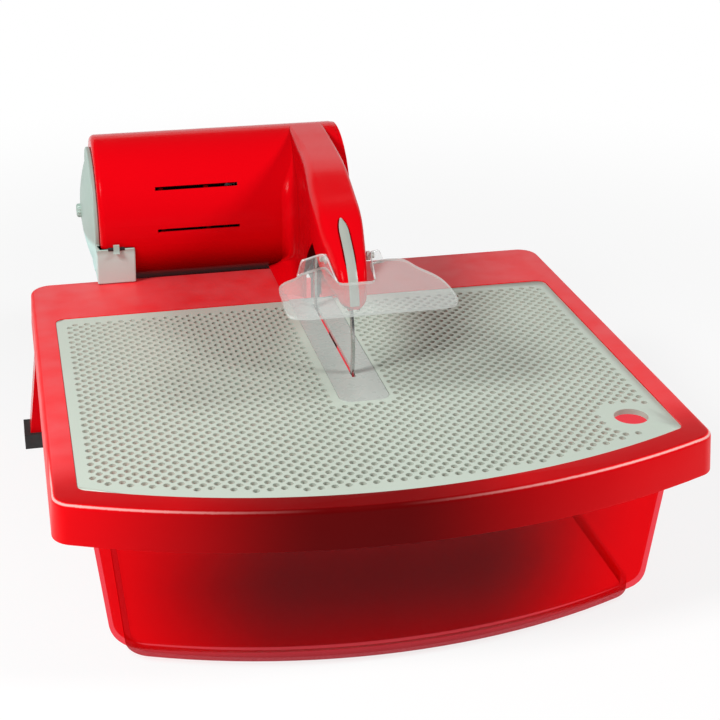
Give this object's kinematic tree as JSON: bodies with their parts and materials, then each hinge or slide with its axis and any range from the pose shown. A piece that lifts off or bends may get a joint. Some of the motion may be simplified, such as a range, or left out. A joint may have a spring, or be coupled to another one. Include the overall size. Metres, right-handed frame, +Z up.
{
  "type": "wet ring saw",
  "caption": "Tabletop wet ring saw for glass: red water pan and table frame, perforated work grid, motor head with an arm over a thin ring blade, clear splash shield.",
  "frame": {"origin": "on the bench, under the middle of the whole machine", "axes": "+X to the operator's right, +Y towards the motor at the back, +Z up"},
  "size_m": [0.4762, 0.5449, 0.2481],
  "materials": {
    "red_shell": "glossy red moulding",
    "pan_red": "translucent red moulding, satin inside",
    "grey_plastic": "satin pale green-grey moulding",
    "rubber": "matt black rubber",
    "clear_plastic": "clear sheet",
    "insert_plastic": "frosted translucent plastic",
    "steel": "turned steel",
    "zinc": "zinc plated",
    "aluminium": "rolled plate",
    "copper": "enamelled copper wire",
    "laminations": "stacked laminations",
    "black_plastic": "black moulding",
    "white_plastic": "natural acetal"
  },
  "bodies": {
    "pan": {"water_pan": "pan_red", "drain_plug": "rubber"},
    "table": {"table_frame": "red_shell", "rear_leg_left": "red_shell", "rear_leg_right": "red_shell", "leg_foot_left": "rubber", "leg_foot_right": "rubber", "leg_screws": "zinc"},
    "grid": {"work_grid": "grey_plastic"},
    "head": {"throat_insert": "insert_plastic", "end_bracket": "grey_plastic", "motor_shell_front": "red_shell", "motor_shell_rear": "red_shell", "right_end_cap": "red_shell", "end_cap_screws": "zinc", "arm_shell": "red_shell", "chassis_plate": "aluminium", "chassis_screws": "zinc", "cover_pins": "steel", "nose_strip": "grey_plastic", "motor_stator": "laminations", "field_coils": "copper", "motor_bulkhead": "black_plastic", "bearing_left": "steel", "bearing_right": "steel", "brush_plate": "black_plastic", "brush_holders": "black_plastic", "drive_bearing": "white_plastic", "drive_belt": "rubber", "roller_axle_upper": "steel", "roller_axle_lower": "steel", "shield_pins": "white_plastic", "switch_body": "black_plastic", "cord_gland": "black_plastic"},
    "cover": {"ring_cover": "red_shell"},
    "rotor": {"motor_shaft": "steel", "rotor_core": "laminations", "armature_windings": "copper", "commutator": "copper", "motor_fan": "black_plastic", "motor_pulley": "aluminium"},
    "drive": {"drive_shaft": "steel", "drive_hub": "aluminium", "drive_grommet": "rubber", "drive_pulley": "aluminium"},
    "ring": {"ring_blade": "steel"},
    "upper_roller": {"guide_roller_upper": "white_plastic"},
    "lower_roller": {"guide_roller_lower": "white_plastic"},
    "shield": {"splash_shield": "clear_plastic"},
    "rocker": {"switch_rocker": "black_plastic"},
    "latch": {"latch_tab": "black_plastic"},
    "knob": {"end_knob": "grey_plastic"}
  },
  "joints": [
    {"name": "table_lift", "type": "slide", "parent": "pan", "child": "table", "axis": [0, 0, 1], "range_m": [0, 0.12]},
    {"name": "grid_lift", "type": "slide", "parent": "table", "child": "grid", "axis": [0, 0, 1], "range_m": [0, 0.02]},
    {"name": "head_lift", "type": "slide", "parent": "table", "child": "head", "axis": [0, 0, 1], "range_m": [0, 0.15]},
    {"name": "cover_pull", "type": "slide", "parent": "head", "child": "cover", "axis": [1, 0, 0], "range_m": [0, 0.045]},
    {"name": "motor_spin", "type": "hinge", "parent": "head", "child": "rotor", "pos_m": [0, 0.2085, 0.182], "axis": [1, 0, 0], "continuous": true},
    {"name": "drive_spin", "type": "hinge", "parent": "head", "child": "drive", "pos_m": [0, 0.07735, 0.18977], "axis": [1, 0, 0], "continuous": true},
    {"name": "ring_spin", "type": "hinge", "parent": "head", "child": "ring", "pos_m": [0, -0.0015, 0.153], "axis": [1, 0, 0], "continuous": true},
    {"name": "upper_roller_spin", "type": "hinge", "parent": "head", "child": "upper_roller", "pos_m": [0, -0.01669, 0.2097], "axis": [1, 0, 0], "continuous": true},
    {"name": "lower_roller_spin", "type": "hinge", "parent": "head", "child": "lower_roller", "pos_m": [0, 0.02785, 0.10216], "axis": [1, 0, 0], "continuous": true},
    {"name": "shield_tilt", "type": "hinge", "parent": "head", "child": "shield", "pos_m": [0, -0.0435, 0.214], "axis": [-1, 0, 0], "range_deg": [0, 60]},
    {"name": "switch_rock", "type": "hinge", "parent": "head", "child": "rocker", "pos_m": [0.0505, 0.2309, 0.182], "axis": [0, -1, 0], "range_deg": [0, 16]},
    {"name": "latch_press", "type": "slide", "parent": "head", "child": "latch", "axis": [0, 0, -1], "range_m": [0, 0.003], "stiffness_N_per_m": 150},
    {"name": "knob_turn", "type": "hinge", "parent": "head", "child": "knob", "pos_m": [-0.17, 0.2085, 0.182], "axis": [1, 0, 0], "range_deg": [-90, 90]}
  ],
  "couplings": [
    {"joint": "drive_spin", "follows": "motor_spin", "ratio": 1},
    {"joint": "ring_spin", "follows": "motor_spin", "ratio": -0.18767},
    {"joint": "upper_roller_spin", "follows": "motor_spin", "ratio": -1.5717},
    {"joint": "lower_roller_spin", "follows": "motor_spin", "ratio": -1.5717}
  ]
}
